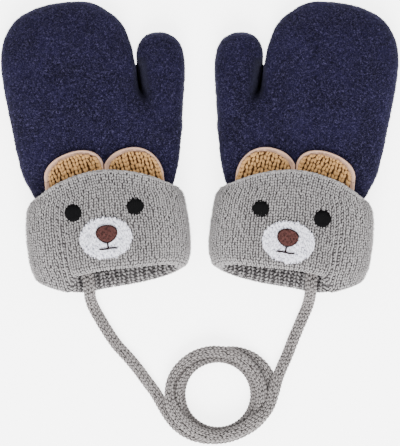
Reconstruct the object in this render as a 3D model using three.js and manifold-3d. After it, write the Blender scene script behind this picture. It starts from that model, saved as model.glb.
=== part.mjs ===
// A pair of toddler's mittens with turned-up knitted cuffs, joined by a knitted neck cord.
// They lie flat, fingertips towards +Y. Millimetres, +Z up from the surface they lie on.
// The origin is on that surface, in the middle of the two mittens.
// Each mitten is drawn in its own frame: u across, v from the cuff's fold to the fingertips.

import * as THREE from 'three';
import { mergeVertices } from 'three/addons/utils/BufferGeometryUtils.js';
import Module from 'manifold-3d';

const wasm = await Module();
wasm.setup();

// Driving dimensions
const seam = 0.3; // between pieces that are sewn together or lie on each other
const handWall = 3.0;
const thumbWall = 3.2;
const turnUpWall = 3.0;
const ribWall = 2.6;
const slot = 0.4; // between the cuff's two layers at the fold
const foldRadius = (turnUpWall + slot + ribWall) / 2;
const widestShare = 0.42; // height of a section's widest point, as a share of its own height
const handStart = 44; // where the hand is joined to the cuff's inner layer
const mittenPlace = { x: -44.04, y: -68.51, tilt: THREE.MathUtils.degToRad(6) };

const colours = {
  hand: 0x25254a,
  cuff: 0x9c9a9b,
  earFront: 0xb98a55,
  earBack: 0xd9bfa6,
  eye: 0x18181b,
  muzzle: 0xe6e6ee,
  nose: 0x6b4038,
};

// The hand's outer edges, its top and its underside, from the wrist to the fingertips
const handSections = [
  { v: 44, left: -28.4, right: 34.5, top: 18.0, floor: 3.6 },
  { v: 47, left: -30.6, right: 36.5, top: 18.0, floor: 3.6 },
  { v: 50.5, left: -31.9, right: 37.9, top: 17.9, floor: 3.4 },
  { v: 55, left: -34.0, right: 39.4, top: 17.7, floor: 2.3 },
  { v: 60, left: -35.5, right: 40.7, top: 17.3, floor: 0.8 },
  { v: 66, left: -36.3, right: 41.9, top: 17.1, floor: 0 },
  { v: 73, left: -37.3, right: 42.7, top: 17.0, floor: 0 },
  { v: 80, left: -37.9, right: 38.2, top: 17.0, floor: 0 },
  { v: 86, left: -38.6, right: 31.8, top: 17.1, floor: 0 },
  { v: 91, left: -39.0, right: 26.8, top: 17.1, floor: 0 },
  { v: 98, left: -39.6, right: 24.3, top: 16.8, floor: 0 },
  { v: 106, left: -40.0, right: 24.1, top: 16.1, floor: 0 },
  { v: 114, left: -40.0, right: 23.2, top: 15.7, floor: 0 },
  { v: 121, left: -38.7, right: 21.9, top: 14.9, floor: 0 },
  { v: 125.2, left: -37.1, right: 20.3, top: 14.1, floor: 0 },
  { v: 129.2, left: -34.5, right: 17.6, top: 12.9, floor: 0 },
  { v: 132.2, left: -31.9, right: 14.8, top: 11.8, floor: 0 },
  { v: 134.7, left: -28.6, right: 11.8, top: 10.5, floor: 0 },
  { v: 136.7, left: -24.1, right: 9.1, top: 9.2, floor: 0 },
  { v: 138.2, left: -19.4, right: 6.0, top: 7.8, floor: 0 },
  { v: 139.3, left: -13.0, right: 2.0, top: 5.8, floor: 0.8 },
];
const handTip = { v: 139.7, u: -5.5, z: 3.3 };
const handRounding = 112; // where the fingertips begin to round off

// The thumb, which starts inside the hand and stands out of it from the fork upwards
const thumbSections = [
  { v: 65, left: 23.0, right: 38.0, top: 11.5, floor: 0 },
  { v: 71, left: 23.2, right: 42.9, top: 13.2, floor: 0 },
  { v: 77, left: 23.6, right: 43.9, top: 13.8, floor: 0 },
  { v: 84, left: 24.8, right: 45.1, top: 14.0, floor: 0 },
  { v: 91, left: 26.4, right: 46.2, top: 14.0, floor: 0 },
  { v: 98, left: 24.6, right: 47.4, top: 13.8, floor: 0 },
  { v: 104, left: 24.6, right: 48.0, top: 13.4, floor: 0 },
  { v: 109, left: 24.7, right: 47.9, top: 12.7, floor: 0 },
  { v: 113, left: 25.7, right: 47.0, top: 11.6, floor: 0 },
  { v: 116.5, left: 27.4, right: 44.9, top: 10.0, floor: 0 },
  { v: 119, left: 29.8, right: 41.7, top: 8.0, floor: 0 },
  { v: 120.2, left: 32.2, right: 38.7, top: 5.6, floor: 0.8 },
];
const thumbTip = { v: 120.7, u: 35.5, z: 3.2 };
const thumbRounding = 106;
const thumbHollowStart = 74; // inside the hand's own hollow

// The outer surface of the turned-up cuff, from its fold to its hem
const cuffSections = [
  { v: -1, left: -32.3, right: 37.7, top: 19.2, floor: 0 },
  { v: 6.5, left: -33.2, right: 38.6, top: 21.1, floor: 0 },
  { v: 9.5, left: -34.0, right: 39.3, top: 21.8, floor: 0 },
  { v: 12, left: -34.9, right: 40.3, top: 22.3, floor: 0 },
  { v: 15, left: -35.5, right: 41.0, top: 22.9, floor: 0 },
  { v: 20, left: -35.7, right: 41.4, top: 23.6, floor: 0 },
  { v: 26, left: -35.8, right: 41.5, top: 24.2, floor: 0 },
  { v: 33, left: -35.5, right: 41.2, top: 24.5, floor: 0 },
  { v: 39, left: -34.7, right: 40.7, top: 24.5, floor: 0 },
  { v: 42, left: -33.8, right: 40.0, top: 24.5, floor: 0 },
  { v: 45, left: -31.9, right: 38.3, top: 24.5, floor: 0 },
  { v: 49, left: -32.2, right: 38.5, top: 24.4, floor: 0 },
  { v: 54, left: -34.5, right: 40.0, top: 24.3, floor: 0 },
  { v: 60, left: -37.0, right: 42.0, top: 24.0, floor: 0 },
];
const cuffMiddle = 2.6;
const cuffHalf = 36; // half of the cuff's width near its hem
const handFullness = 2.3; // 2 is an ellipse, more is boxier
const cuffFullness = 2.7;

// The cuff's lower fold and upper hem. The front fold is drawn back, so that the mouth shows.
// The fold rises by bow and corner towards the sides, and hangs lower near its outer end.
const fold = { back: 0.9, front: 9.5, bow: 4.2, corner: 1.4, dip: 2.35, dipAt: -0.55, dipReach: 0.36 };
// The drawn-back fold starts between these two places across the front, and sags towards them
const drawn = { from: -0.67, to: -0.47, sag: 1.8, sagTo: -0.1 };
const hem = { front: 56, back: 50, side: 45, power: 1.8 };

// The face: what is sewn on the front of the cuff
const faceMiddle = 2.9;
const appliqueThickness = 0.8;
const eye = { u: 14.7, v: 37.7, halfU: 4.0, halfV: 4.2 };
const muzzle = { u: 2.3, v: 24.4, halfU: 12.4, halfV: 9.8 };
const nose = { u: 2.9, v: 26.2, halfU: 5.0, halfV: 4.2 };
// The right face is sewn on a little lower and nearer the thumb, and turned about this point
const facePivot = { u: 2.7, v: 26 };
const faceShifts = {
  left: { u: 0, v: 0, turn: 0 },
  right: { u: 2.15, v: -2.1, turn: THREE.MathUtils.degToRad(3.1) },
};

// Two ears, each a knitted front on a wider plain back, tucked behind the hem
const ears = [
  { name: 'outer', u: -9.7, v: 56.5, halfU: 14.5, halfV: 10.0, tilt: THREE.MathUtils.degToRad(14), side: -1 },
  { name: 'inner', u: 17.7, v: 50.5, halfU: 14.5, halfV: 15.4, tilt: THREE.MathUtils.degToRad(9), side: 1 },
];
const earFullness = 2.2;
const earCleft = 4.6; // u of the line on which the two ears meet
const earBackThickness = 1.0;
const earFrontThickness = 1.4;
const earRim = 1.4;
const earTuck = 3.0;

// The cord, from the inside of one cuff to the other. A row is x, y, z.
const cordDiameter = 4.8;
const cordSides = 10;
const leftCordRoute = [
  [-54.3, -56.8, 9.1],
  [-53.8, -61.5, 9.0],
  [-53.3, -66.0, 8.9],
  [-53.0, -70.0, 7.9],
  [-52.8, -73.4, 4.7],
  [-51.4, -77.8, 2.9],
  [-48.2, -83.6, 2.6],
  [-44.7, -89.4, 2.6],
  [-40.3, -95.8, 2.6],
  [-34.9, -101.8, 2.6],
  [-30.0, -107.6, 2.6],
  [-26.2, -112.8, 2.6],
  [-22.9, -117.2, 2.6],
  [-19.8, -121.0, 2.6],
];
const rightCordRoute = [
  [54.3, -56.8, 9.1],
  [53.8, -61.5, 9.0],
  [53.5, -66.0, 8.9],
  [53.3, -70.0, 7.9],
  [53.0, -73.4, 4.7],
  [51.9, -77.8, 2.9],
  [49.3, -84.0, 2.6],
  [45.9, -92.0, 2.6],
  [42.9, -100.0, 2.7],
  [40.3, -106.0, 3.4],
  [38.4, -111.2, 4.4],
  [36.7, -114.7, 5.2],
];
const coil = { x: 8.7, y: -120.0, inner: 15.2, outer: 26.0, height: 10.2, bevel: 2.2 };

// Reads a table smoothly at one place along v
function sectionAt(table, v) {
  const last = table.length - 1;
  if (v <= table[0].v) return { ...table[0], v };
  if (v >= table[last].v) return { ...table[last], v };
  const i = table.findIndex((row) => row.v > v) - 1;
  const [a, b, c, d] = [table[Math.max(i - 1, 0)], table[i], table[i + 1], table[Math.min(i + 2, last)]];
  const step = c.v - b.v;
  const t = (v - b.v) / step;
  const section = { v };
  for (const key of ['left', 'right', 'top', 'floor']) {
    const slopeB = ((c[key] - a[key]) / (c.v - a.v)) * step;
    const slopeC = ((d[key] - b[key]) / (d.v - b.v)) * step;
    section[key] =
      (2 * t ** 3 - 3 * t ** 2 + 1) * b[key] +
      (t ** 3 - 2 * t ** 2 + t) * slopeB +
      (-2 * t ** 3 + 3 * t ** 2) * c[key] +
      (t ** 3 - t ** 2) * slopeC;
  }
  section.floor = Math.max(0, section.floor);
  return section;
}

function inset(section, amountU, amountZ = amountU) {
  return {
    v: section.v,
    left: section.left + amountU,
    right: section.right - amountU,
    top: section.top - amountZ,
    floor: section.floor + amountZ,
  };
}

function mixSections(a, b, t) {
  const mixed = { v: a.v };
  for (const key of ['left', 'right', 'top', 'floor']) mixed[key] = a[key] + (b[key] - a[key]) * t;
  return mixed;
}

const signedPower = (value, power) => Math.sign(value) * Math.abs(value) ** power;

// How far across and how high a point of a section lies, each from -1 to 1
function directionAt(angle, fullness) {
  return {
    across: signedPower(Math.cos(angle), 2 / fullness),
    up: signedPower(Math.sin(angle), 2 / fullness),
  };
}

// A section is a rounded hump with a flat underside, where it rests
function sectionPoint(section, direction, v = section.v) {
  const middle = (section.left + section.right) / 2;
  const half = (section.right - section.left) / 2;
  const widest = section.floor + widestShare * (section.top - section.floor);
  const z = Math.max(section.floor, widest + (section.top - widest) * direction.up);
  return new THREE.Vector3(middle + half * direction.across, v, z);
}

function ringOf(section, count, fullness) {
  const angles = Array.from({ length: count }, (_, i) => (i / count) * Math.PI * 2);
  return angles.map((angle) => sectionPoint(section, directionAt(angle, fullness)));
}

function geometryFrom(points, faces) {
  const geometry = new THREE.BufferGeometry();
  geometry.setAttribute('position', new THREE.Float32BufferAttribute(points.flatMap((p) => p.toArray()), 3));
  geometry.setIndex(faces.flat());
  return geometry;
}

// The two triangles between each pair of neighbours in two rings
function band(from, to, count, closed = true) {
  const faces = [];
  for (let i = 0; i < (closed ? count : count - 1); i += 1) {
    const next = (i + 1) % count;
    faces.push([from + i, from + next, to + next], [from + i, to + next, to + i]);
  }
  return faces;
}

// A tube through rings, closed at both ends
function loftedBody(rings, startPoint, endPoint) {
  const count = rings[0].length;
  const points = rings.flat();
  const faces = rings.slice(1).flatMap((_, i) => band((i + 1) * count, i * count, count));
  const start = points.push(startPoint) - 1;
  const end = points.push(endPoint) - 1;
  const lastRing = (rings.length - 1) * count;
  for (let i = 0; i < count; i += 1) {
    const next = (i + 1) % count;
    faces.push([start, i, next], [end, lastRing + next, lastRing + i]);
  }
  return geometryFrom(points, faces);
}

function solidOf(geometry) {
  const merged = mergeVertices(geometry, 1e-4);
  const mesh = new wasm.Mesh({
    numProp: 3,
    vertProperties: new Float32Array(merged.attributes.position.array),
    triVerts: new Uint32Array(merged.index.array),
  });
  const solid = new wasm.Manifold(mesh);
  return solid;
}

function geometryOf(solid) {
  const mesh = solid.getMesh();
  const geometry = new THREE.BufferGeometry();
  geometry.setAttribute('position', new THREE.BufferAttribute(new Float32Array(mesh.vertProperties), 3));
  geometry.setIndex(new THREE.BufferAttribute(new Uint32Array(mesh.triVerts), 1));
  return geometry;
}

const centreOf = (section) => new THREE.Vector3(
  (section.left + section.right) / 2,
  section.v,
  (section.top + section.floor) / 2,
);

// The outside of a closed tube of cloth
function outerTube(table, tip, count, grow = 0) {
  const rings = table.map((section) => ringOf(inset(section, -grow), count, handFullness));
  const start = centreOf(inset(table[0], -grow));
  return solidOf(loftedBody(rings, start, new THREE.Vector3(tip.u, tip.v + grow, tip.z)));
}

// The hollow inside it. Past the place where the tip rounds off, it is the outside made smaller.
function innerTube(table, tip, rounding, wall, start, stations, count) {
  const widest = sectionAt(table, rounding);
  const end = tip.v - wall;
  const rings = stations.map((share) => {
    const v = start + (end - start) * share;
    const beyond = Math.max(0, (v - rounding) / (end - rounding));
    const outer = sectionAt(table, v + wall * beyond);
    const shareU = Math.min(1, (outer.right - outer.left) / (widest.right - widest.left));
    const shareZ = Math.min(1, (outer.top - outer.floor) / (widest.top - widest.floor));
    const amountU = beyond > 0 ? wall * shareU : wall;
    const amountZ = beyond > 0 ? wall * Math.max(shareZ, 0.75) : wall;
    return ringOf({ ...inset(outer, amountU, amountZ), v }, count, handFullness);
  });
  const middle = (ring) => ring.reduce((sum, p) => sum.add(p), new THREE.Vector3()).divideScalar(ring.length);
  return solidOf(loftedBody(rings, middle(rings[0]), middle(rings.at(-1)).setY(end)));
}

function makeHandAndThumb() {
  const handStations = [0, 0.12, 0.2, 0.28, 0.38, 0.46, 0.54, 0.64, 0.74, 0.82, 0.88, 0.93, 0.965, 0.985];
  const thumbStations = [0, 0.2, 0.4, 0.55, 0.68, 0.8, 0.89, 0.95, 0.985];
  const handOut = outerTube(handSections, handTip, 32);
  const handIn = innerTube(handSections, handTip, handRounding, handWall, handStart - 3, handStations, 24);
  const thumbOut = outerTube(thumbSections, thumbTip, 24);
  const thumbIn = innerTube(thumbSections, thumbTip, thumbRounding, thumbWall, thumbHollowStart, thumbStations, 16);
  const handGrown = outerTube(handSections, handTip, 32, seam);
  return {
    hand: geometryOf(handOut.subtract(handIn).subtract(thumbIn)),
    thumb: geometryOf(thumbOut.subtract(thumbIn).subtract(handGrown)),
  };
}

const smooth = (low, high, value) => THREE.MathUtils.smoothstep(value, low, high);

// Where the cuff folds, at a place round its section
function foldAt({ across, up }) {
  const rise = fold.bow * across ** 2 + fold.corner * across ** 10;
  const dip = fold.dip * Math.exp(-(((across - fold.dipAt) / fold.dipReach) ** 2));
  const back = fold.back + rise - dip;
  const side = fold.back + fold.bow + fold.corner;
  const sag = drawn.sag * (1 - smooth(drawn.from, drawn.sagTo, across));
  const drawnBack = THREE.MathUtils.lerp(fold.front, side, across ** 10) - sag;
  const front = THREE.MathUtils.lerp(back, drawnBack, smooth(drawn.from, drawn.to, across));
  return THREE.MathUtils.lerp(back, front, smooth(-0.35, 0.35, up));
}

// Where the turned-up layer ends
function hemAt({ across, up }) {
  const side = Math.abs(across) ** hem.power;
  const middle = THREE.MathUtils.lerp(hem.back, hem.front, smooth(-0.35, 0.35, up));
  return THREE.MathUtils.lerp(middle, hem.side, side);
}

const frontHem = (u) => hemAt({ across: THREE.MathUtils.clamp((u - cuffMiddle) / cuffHalf, -1, 1), up: 1 });

// The cuff's inner layer narrows towards the wrist, where the hand's cloth meets it
function ribSection(v) {
  const underTurnUp = inset(sectionAt(cuffSections, v), turnUpWall + slot);
  return mixSections(underTurnUp, { ...handSections[0], v }, smooth(16, handStart, v));
}

// One knitted tube folded back on itself: down the outside, round the fold and up the inside
function makeCuff(count) {
  const wallShares = [1, 0.9, 0.7, 0.48, 0.26, 0.08];
  const ribShares = [0.1, 0.4, 0.75, 1];
  const arc = [0, 1, 2, 3, 4].map((i) => (i / 4) * Math.PI);
  const ribEnd = handStart - seam;
  const rounded = 0.7; // the hem's corners are rounded off by this much
  const besideSlot = 0.01; // where each layer's inner side starts, above the slot's end
  const turnUp = (share, depth) => (direction) => {
    const low = foldAt(direction) + foldRadius;
    const v = low + (hemAt(direction) - low) * share;
    return sectionPoint(inset(sectionAt(cuffSections, v), depth), direction, v);
  };
  const round = (angle) => (direction) => {
    const v = foldAt(direction) + foldRadius * (1 - Math.sin(angle));
    const depth = foldRadius * (1 - Math.cos(angle));
    return sectionPoint(inset(sectionAt(cuffSections, v), depth), direction, v);
  };
  const rib = (share, depth) => (direction) => {
    const low = foldAt(direction) + foldRadius;
    const v = low + (ribEnd - low) * share;
    return sectionPoint(inset(ribSection(v), depth), direction, v);
  };
  const profile = [
    ...wallShares.map((share, i) => turnUp(share, i ? 0 : rounded)),
    ...arc.map(round),
    ...ribShares.map((share) => rib(share, ribWall)),
    ...ribShares.toReversed().map((share) => rib(share, 0)),
    rib(besideSlot, 0),
    turnUp(besideSlot, turnUpWall),
    ...wallShares.toReversed().map((share, i) => turnUp(share, turnUpWall - (i < 5 ? 0 : rounded))),
  ];
  const angles = Array.from({ length: count }, (_, i) => (i / count) * Math.PI * 2);
  const rings = profile.map((pointAt) => angles.map((angle) => pointAt(directionAt(angle, cuffFullness))));
  const faces = rings.flatMap((_, i) => band(i * count, ((i + 1) % rings.length) * count, count));
  return geometryFrom(rings.flat(), faces);
}

// The height of a section's top surface
function topHeight(sections, fullness, u, v) {
  const section = sectionAt(sections, v);
  const half = (section.right - section.left) / 2;
  const across = Math.min(0.995, Math.abs((u - (section.left + section.right) / 2) / half));
  const widest = section.floor + widestShare * (section.top - section.floor);
  return widest + (section.top - widest) * (1 - across ** fullness) ** (1 / fullness);
}

// A point that lies above a cloth's top surface, straight out from it
function above(cloth, u, v, lift) {
  const step = 0.5;
  const height = (x, y) => topHeight(cloth.sections, cloth.fullness, x, y);
  const slopeU = (height(u + step, v) - height(u - step, v)) / (2 * step);
  const slopeV = (height(u, v + step) - height(u, v - step)) / (2 * step);
  const normal = new THREE.Vector3(-slopeU, -slopeV, 1).normalize();
  return new THREE.Vector3(u, v, height(u, v)).addScaledVector(normal, lift);
}

const handCloth = { sections: handSections, fullness: handFullness };
const cuffCloth = { sections: cuffSections, fullness: cuffFullness };

// Where one mitten's face has an oval
function sewnOval(oval, side) {
  const shift = faceShifts[side];
  const place = new THREE.Vector2(oval.u, oval.v).rotateAround(new THREE.Vector2(facePivot.u, facePivot.v), shift.turn);
  return { ...oval, u: place.x + shift.u, v: place.y + shift.v, turn: shift.turn };
}

// An oval sewn flat on a cloth
function makeOval(cloth, oval, lift, thickness, count) {
  const rings = [];
  for (const [share, height] of [[0.5, lift], [1, lift], [1, lift + thickness], [0.5, lift + thickness]]) {
    rings.push(Array.from({ length: count }, (_, i) => {
      const angle = (-i / count) * Math.PI * 2;
      const edge = new THREE.Vector2(oval.halfU * Math.cos(angle), oval.halfV * Math.sin(angle));
      edge.multiplyScalar(share).rotateAround(new THREE.Vector2(), oval.turn);
      return above(cloth, oval.u + edge.x, oval.v + edge.y, height);
    }));
  }
  const under = above(cloth, oval.u, oval.v, lift);
  const over = above(cloth, oval.u, oval.v, lift + thickness);
  return loftedBody(rings, under, over);
}

// An ear: the part of a tilted oval that lies above its lower edge, tucked behind the hem
function makeEar(ear, rim, lift, thickness) {
  const outline = [];
  for (let degrees = 176; degrees >= 4; degrees -= 2) {
    const angle = THREE.MathUtils.degToRad(degrees);
    const { across, up } = directionAt(angle, earFullness);
    const [x, y] = [(ear.halfU - rim) * across, (ear.halfV - rim) * up];
    const u = ear.u + x * Math.cos(ear.tilt) - y * Math.sin(ear.tilt);
    const v = ear.v + x * Math.sin(ear.tilt) + y * Math.cos(ear.tilt);
    const away = Math.min(1, Math.abs(u - cuffMiddle) / cuffHalf);
    const low = frontHem(u) + seam - earTuck * (1 - away ** 3);
    const fromCleft = (u - earCleft) * ear.side;
    if (v > low + 0.8 && fromCleft > seam / 2 + rim) outline.push({ u, v, low });
  }
  const columns = 12;
  const rows = 3;
  const grid = (height) => Array.from({ length: columns + 1 }, (_, i) => {
    const place = outline[Math.round((i / columns) * (outline.length - 1))];
    return Array.from({ length: rows + 1 }, (_, j) => {
      const v = place.low + (place.v - place.low) * (j / rows);
      return above(handCloth, place.u, v, height);
    });
  }).flat();
  const points = [...grid(lift + thickness), ...grid(lift)];
  const stride = rows + 1;
  const layer = (columns + 1) * stride;
  const faces = [];
  const quad = (a, b, c, d) => faces.push([a, b, c], [a, c, d]);
  for (let i = 0; i < columns; i += 1) {
    for (let j = 0; j < rows; j += 1) {
      const at = i * stride + j;
      quad(at, at + stride, at + stride + 1, at + 1);
      quad(layer + at, layer + at + 1, layer + at + stride + 1, layer + at + stride);
    }
    const [low, high] = [i * stride, i * stride + rows];
    quad(low, layer + low, layer + low + stride, low + stride);
    quad(high, high + stride, layer + high + stride, layer + high);
  }
  for (let j = 0; j < rows; j += 1) {
    const end = columns * stride + j;
    quad(j, j + 1, layer + j + 1, layer + j);
    quad(end, layer + end, layer + end + 1, end + 1);
  }
  return geometryFrom(points, faces);
}

const cloths = Object.fromEntries(Object.entries(colours).map(([name, color]) => [
  name,
  new THREE.MeshStandardMaterial({ name, color, roughness: 0.95, metalness: 0 }),
]));

function addPiece(group, name, geometry, material) {
  geometry.computeVertexNormals();
  const mesh = new THREE.Mesh(geometry, material);
  mesh.name = name;
  group.add(mesh);
}

function makeMitten(side) {
  const group = new THREE.Group();
  const { hand, thumb } = makeHandAndThumb();
  addPiece(group, `${side}_hand`, hand, cloths.hand);
  addPiece(group, `${side}_thumb`, thumb, cloths.hand);
  addPiece(group, `${side}_cuff`, makeCuff(40), cloths.cuff);
  for (const ear of ears) {
    const frontLift = seam + earBackThickness + seam;
    addPiece(group, `${side}_${ear.name}_ear_back`, makeEar(ear, 0, seam, earBackThickness), cloths.earBack);
    addPiece(group, `${side}_${ear.name}_ear_front`, makeEar(ear, earRim, frontLift, earFrontThickness), cloths.earFront);
  }
  for (const [name, direction] of [['outer', -1], ['inner', 1]]) {
    const oval = sewnOval({ ...eye, u: faceMiddle + direction * eye.u }, side);
    addPiece(group, `${side}_${name}_eye`, makeOval(cuffCloth, oval, seam, appliqueThickness, 16), cloths.eye);
  }
  const noseLift = seam + appliqueThickness + seam;
  addPiece(group, `${side}_muzzle`, makeOval(cuffCloth, sewnOval(muzzle, side), seam, appliqueThickness, 24), cloths.muzzle);
  addPiece(group, `${side}_nose`, makeOval(cuffCloth, sewnOval(nose, side), noseLift, appliqueThickness, 16), cloths.nose);
  group.position.set(mittenPlace.x, mittenPlace.y, 0);
  group.rotation.z = mittenPlace.tilt;
  return group;
}

// A free stretch of cord along its route
function makeCordRun(route) {
  const path = new THREE.CatmullRomCurve3(route.map((p) => new THREE.Vector3(...p)), false, 'centripetal');
  const corners = Array.from({ length: cordSides }, (_, i) => {
    const angle = (i / cordSides) * Math.PI * 2;
    return new THREE.Vector2(Math.cos(angle), Math.sin(angle)).multiplyScalar(cordDiameter / 2);
  });
  return new THREE.ExtrudeGeometry(new THREE.Shape(corners), { steps: 24, extrudePath: path, bevelEnabled: false });
}

// The outer shape of the coiled stretch: a flat-bottomed ring
function makeCoil() {
  const { inner, outer, height, bevel } = coil;
  const profile = [
    [inner, bevel],
    [inner + bevel, 0],
    [outer - bevel, 0],
    [outer, bevel],
    [outer, height - bevel],
    [outer - bevel, height],
    [inner + bevel, height],
    [inner, height - bevel],
    [inner, bevel],
  ].map(([radius, z]) => new THREE.Vector2(radius, z));
  return new THREE.LatheGeometry(profile, 36).rotateX(Math.PI / 2).translate(coil.x, coil.y, 0);
}

const mittens = new THREE.Group();
mittens.name = 'mittens';
mittens.add(makeMitten('left'));

const mirrored = new THREE.Group();
mirrored.add(makeMitten('right'));
mirrored.scale.x = -1;
mittens.add(mirrored);

addPiece(mittens, 'cord_left_run', makeCordRun(leftCordRoute), cloths.cuff);
addPiece(mittens, 'cord_right_run', makeCordRun(rightCordRoute), cloths.cuff);
addPiece(mittens, 'cord_coil', makeCoil(), cloths.cuff);

export default mittens;
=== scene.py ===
# A pair of toddler's mittens on a knitted neck cord, lying flat.
# Lengths in the dictionaries are millimetres. Each mitten is drawn in its own frame:
# u runs across it, v from the cuff's fold to the fingertips, z up from the surface it lies on.

import math

import bpy
import numpy as np
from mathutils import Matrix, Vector, noise


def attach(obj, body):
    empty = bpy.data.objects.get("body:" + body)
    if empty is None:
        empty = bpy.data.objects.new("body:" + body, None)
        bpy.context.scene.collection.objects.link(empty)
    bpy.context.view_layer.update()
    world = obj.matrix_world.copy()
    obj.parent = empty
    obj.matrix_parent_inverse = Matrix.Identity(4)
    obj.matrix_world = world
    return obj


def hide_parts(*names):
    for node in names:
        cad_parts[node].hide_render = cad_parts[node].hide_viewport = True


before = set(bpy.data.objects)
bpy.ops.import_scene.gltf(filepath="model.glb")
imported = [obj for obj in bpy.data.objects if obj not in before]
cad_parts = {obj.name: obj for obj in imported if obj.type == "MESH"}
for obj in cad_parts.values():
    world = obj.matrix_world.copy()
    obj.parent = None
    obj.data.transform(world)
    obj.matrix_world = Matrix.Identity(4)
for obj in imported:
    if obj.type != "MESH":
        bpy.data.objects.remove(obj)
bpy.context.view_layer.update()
mm = 0.001
sides = ("left", "right")


# Camera, straight above as in the photograph
view = {"over": (0.12, -37.0), "level": 10.0, "shownHeight": 214.0, "distance": 900.0, "sensor": 24.0}


def makeCamera():
    data = bpy.data.cameras.new("camera")
    camera = bpy.data.objects.new("camera", data)
    bpy.context.collection.objects.link(camera)
    data.sensor_fit = "VERTICAL"
    data.sensor_height = view["sensor"]
    data.lens = view["sensor"] * view["distance"] / view["shownHeight"]
    data.clip_start = 0.05
    data.clip_end = 20.0
    camera.location = Vector((*view["over"], view["level"] + view["distance"])) * mm
    bpy.context.scene.camera = camera


makeCamera()
print("camera made")


# Shader maths: a socket that can be used in an expression
class Field:
    def __init__(self, paint, socket):
        self.paint = paint
        self.socket = socket

    def maths(self, operation, first, second):
        node = self.paint.node("ShaderNodeMath", {"operation": operation}, {0: first, 1: second})
        return Field(self.paint, node.outputs[0])

    def __add__(self, other):
        return self.maths("ADD", self, other)

    def __radd__(self, other):
        return self.maths("ADD", other, self)

    def __sub__(self, other):
        return self.maths("SUBTRACT", self, other)

    def __rsub__(self, other):
        return self.maths("SUBTRACT", other, self)

    def __mul__(self, other):
        return self.maths("MULTIPLY", self, other)

    def __rmul__(self, other):
        return self.maths("MULTIPLY", other, self)

    def __truediv__(self, other):
        return self.maths("DIVIDE", self, other)

    def __pow__(self, other):
        return self.maths("POWER", self, other)


# One material and the nodes in it
class Paint:
    def __init__(self, name):
        self.material = bpy.data.materials.new(name)
        self.material.use_nodes = True
        self.tree = self.material.node_tree
        self.tree.nodes.clear()

    def node(self, kind, settings, inputs):
        node = self.tree.nodes.new(kind)
        for key, value in settings.items():
            setattr(node, key, value)
        for key, value in inputs.items():
            if isinstance(value, Field):
                self.tree.links.new(value.socket, node.inputs[key])
            else:
                node.inputs[key].default_value = value
        return node

    def out(self, node, name):
        return Field(self, node.outputs[name])

    def place(self):
        return self.out(self.node("ShaderNodeTexCoord", {}, {}), "Object")

    # Noise whose grains are about this many millimetres wide
    def grain(self, size, detail=2.0, roughness=0.5, distortion=0.0, vector=None):
        inputs = {
            "Vector": vector or self.place(),
            "Scale": 1 / (size * mm),
            "Detail": detail,
            "Roughness": roughness,
            "Distortion": distortion,
        }
        return self.out(self.node("ShaderNodeTexNoise", {"noise_dimensions": "3D"}, inputs), "Fac")

    def own(self, name):
        return self.out(self.node("ShaderNodeAttribute", {"attribute_name": name}, {}), "Fac")

    # Spreads the part of a value between two limits over 0 to 1
    def spread(self, value, low, high):
        inputs = {"Value": value, "From Min": low, "From Max": high}
        return self.out(self.node("ShaderNodeMapRange", {"clamp": True}, inputs), "Result")

    def blend(self, share, first, second, kind="MIX"):
        settings = {"data_type": "RGBA", "blend_type": kind, "clamp_factor": True}
        node = self.node("ShaderNodeMix", settings, {0: share, 6: first, 7: second})
        return Field(self, node.outputs[2])

    def bump(self, height, distance, strength=1.0):
        inputs = {"Height": height, "Distance": distance * mm, "Strength": strength}
        return self.out(self.node("ShaderNodeBump", {}, inputs), "Normal")

    def finish(self, colour, roughness, normal, sheen, sheenTint):
        inputs = {
            "Base Color": colour,
            "Roughness": roughness,
            "Normal": normal,
            "Specular IOR Level": 0.06,
            "Sheen Weight": sheen,
            "Sheen Roughness": 0.45,
            "Sheen Tint": sheenTint,
        }
        surface = self.out(self.node("ShaderNodeBsdfPrincipled", {}, inputs), "BSDF")
        self.node("ShaderNodeOutputMaterial", {}, {"Surface": surface})
        return self.material


# A colour given as it looks on a screen, 0 to 255
def seen(red, green, blue):
    shares = [value / 255 for value in (red, green, blue)]
    linear = [s / 12.92 if s <= 0.04045 else ((s + 0.055) / 1.055) ** 2.4 for s in shares]
    return (*linear, 1.0)


wool = {
    "dark": seen(8, 7, 18),
    "middle": seen(25, 22, 47),
    "fleck": seen(76, 72, 100),
    # The colour of the painted shade in the crease
    "paintedShade": seen(4, 4, 9),
    "loop": 0.8,
    "patch": 14.0,
    "pile": 0.35,
}


def woolMaterial(name, lighter):
    paint = Paint(name)
    curl = paint.grain(wool["loop"], 2.0, 0.6, 1.2)
    finer = paint.grain(wool["loop"] * 0.5, 1.0, 0.5, 0.6)
    patch = paint.grain(wool["patch"], 2.0, 0.5)
    loops = paint.spread(curl * 0.66 + finer * 0.14 + patch * 0.2, 0.41, 0.6)
    flecks = paint.spread(finer * 0.4 + curl * 0.6, 0.54, 0.68)
    colour = paint.blend(loops, wool["dark"], wool["middle"])
    colour = paint.blend(flecks * 0.7, colour, wool["fleck"])
    colour = paint.blend(lighter, colour, wool["fleck"])
    # Painted shade: the wool is darkened where the shade mark is high, in the crease
    colour = paint.blend(paint.own("shade"), colour, wool["paintedShade"])
    normal = paint.bump(curl * 0.6 + finer * 0.4, wool["pile"], 0.9)
    return paint.finish(colour, 0.95, normal, 0.12, seen(150, 150, 190))


# Each knit's yarn colour, the colour of its painted shade between stitches, and its sheen tint
knitColours = {
    "greyKnit": {"yarn": seen(148, 145, 145), "paintedGapShade": seen(66, 63, 64), "tint": seen(225, 222, 220)},
    "tanKnit": {"yarn": seen(180, 138, 88), "paintedGapShade": seen(66, 36, 12), "tint": seen(240, 215, 175)},
    "beigeBacking": {"yarn": seen(226, 198, 178), "paintedGapShade": seen(184, 148, 126), "tint": seen(245, 230, 215)},
    "greyCord": {"yarn": seen(146, 141, 140), "paintedGapShade": seen(62, 58, 57), "tint": seen(225, 220, 218)},
}
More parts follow.
